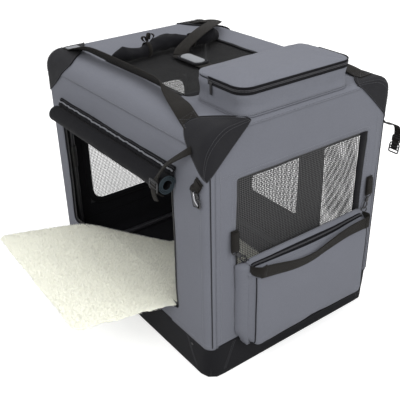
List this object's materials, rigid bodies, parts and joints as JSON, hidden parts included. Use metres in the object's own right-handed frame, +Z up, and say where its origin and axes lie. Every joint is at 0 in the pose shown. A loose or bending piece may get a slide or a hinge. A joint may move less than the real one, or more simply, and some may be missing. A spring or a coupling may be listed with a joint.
{
  "type": "soft folding dog crate",
  "caption": "Fabric dog crate with mesh windows on a folding steel tube frame, rolled-up side door, roof pouch, side bag and fleece mat.",
  "frame": {"origin": "middle of the crate's underside, on the surface it stands on", "axes": "+X along the crate towards the end with the side bag, -Y towards the open side door, +Z up"},
  "size_m": [0.708, 0.8235, 0.656],
  "materials": {
    "grey_fabric": "grey woven polyester",
    "black_fabric": "black coated polyester",
    "patch_fabric": "heavy black woven patch",
    "net": "black open mesh",
    "webbing": "woven webbing",
    "fleece": "cream fleece",
    "tube_steel": "dark enamelled steel tube",
    "plastic": "black moulded plastic"
  },
  "bodies": {
    "base": {"base_tray": "black_fabric", "base_rail_front": "tube_steel", "base_rail_back": "tube_steel", "base_rail_left": "tube_steel", "base_rail_right": "tube_steel", "corner_block_front_left": "plastic", "corner_block_front_right": "plastic", "corner_block_back_left": "plastic", "corner_block_back_right": "plastic", "front_wall": "grey_fabric", "back_wall": "grey_fabric", "left_wall": "grey_fabric", "right_wall": "grey_fabric", "right_net": "net", "left_net": "net", "back_net_left": "net", "back_net_right": "net", "door_roll": "black_fabric", "door_tie": "webbing", "rear_tie": "webbing", "edge_clip": "plastic", "bag_clip_left": "plastic", "bag_clip_right": "plastic"},
    "lower_left": {"lower_post_front_left": "tube_steel", "lower_post_back_left": "tube_steel", "lower_knuckle_front_left": "plastic", "lower_knuckle_back_left": "plastic"},
    "upper_left": {"end_hoop_left": "tube_steel", "upper_knuckle_front_left": "plastic", "upper_knuckle_back_left": "plastic"},
    "roof": {"roof_panel": "grey_fabric", "roof_net": "net", "roof_rail_front": "tube_steel", "roof_rail_back": "tube_steel", "roof_saddle_front_left": "plastic", "roof_saddle_front_right": "plastic", "roof_saddle_back_left": "plastic", "roof_saddle_back_right": "plastic", "top_patch_front_left": "patch_fabric", "top_patch_front_right": "patch_fabric", "top_patch_back_left": "patch_fabric", "top_patch_back_right": "patch_fabric", "roof_flap_roll": "black_fabric", "pouch_base": "grey_fabric", "front_handle": "webbing", "back_handle": "webbing", "handle_grip": "grey_fabric"},
    "lower_right": {"lower_post_front_right": "tube_steel", "lower_post_back_right": "tube_steel", "lower_knuckle_front_right": "plastic", "lower_knuckle_back_right": "plastic"},
    "upper_right": {"end_hoop_right": "tube_steel", "upper_knuckle_front_right": "plastic", "upper_knuckle_back_right": "plastic"},
    "mat": {"fleece_mat": "fleece"},
    "side_bag": {"side_bag": "grey_fabric", "side_bag_strap": "webbing"},
    "pouch_lid": {"pouch_lid": "grey_fabric"},
    "zip_pull": {"pouch_zip_pull": "plastic"}
  },
  "joints": [
    {"name": "fold", "type": "hinge", "parent": "base", "child": "lower_left", "pos_m": [-0.2975, 0, 0.04], "axis": [0, 1, 0], "range_deg": [0, 83], "deforming": ["front_wall", "back_wall", "left_wall", "right_wall", "right_net", "left_net", "back_net_left", "back_net_right", "door_roll", "door_tie", "rear_tie", "edge_clip", "bag_clip_left", "bag_clip_right", "side_bag", "side_bag_strap", "fleece_mat"]},
    {"name": "knee_left", "type": "hinge", "parent": "lower_left", "child": "upper_left", "pos_m": [-0.3145, 0, 0.3081], "axis": [0, 1, 0], "range_deg": [-166, 0]},
    {"name": "roof_left", "type": "hinge", "parent": "upper_left", "child": "roof", "pos_m": [-0.2975, 0, 0.5762], "axis": [0, 1, 0], "range_deg": [0, 83]},
    {"name": "fold_right", "type": "hinge", "parent": "base", "child": "lower_right", "pos_m": [0.2975, 0, 0.04], "axis": [0, 1, 0], "range_deg": [-83, 0]},
    {"name": "knee_right", "type": "hinge", "parent": "lower_right", "child": "upper_right", "pos_m": [0.3145, 0, 0.3081], "axis": [0, 1, 0], "range_deg": [0, 166]},
    {"name": "mat_slide", "type": "slide", "parent": "base", "child": "mat", "axis": [0, -1, 0], "range_m": [0, 0.3], "deforming": ["fleece_mat"]},
    {"name": "bag_swing", "type": "hinge", "parent": "base", "child": "side_bag", "pos_m": [0.33, 0, 0.288], "axis": [0, -1, 0], "range_deg": [0, 40]},
    {"name": "pouch_open", "type": "hinge", "parent": "roof", "child": "pouch_lid", "pos_m": [0.17, 0, 0.642], "axis": [0, -1, 0], "range_deg": [0, 110]},
    {"name": "zip_run", "type": "slide", "parent": "roof", "child": "zip_pull", "axis": [1, 0, 0], "range_m": [-0.026, 0.054]}
  ],
  "couplings": [
    {"joint": "knee_left", "follows": "fold", "ratio": -2},
    {"joint": "roof_left", "follows": "fold", "ratio": 1},
    {"joint": "fold_right", "follows": "fold", "ratio": -1},
    {"joint": "knee_right", "follows": "fold", "ratio": 2}
  ]
}
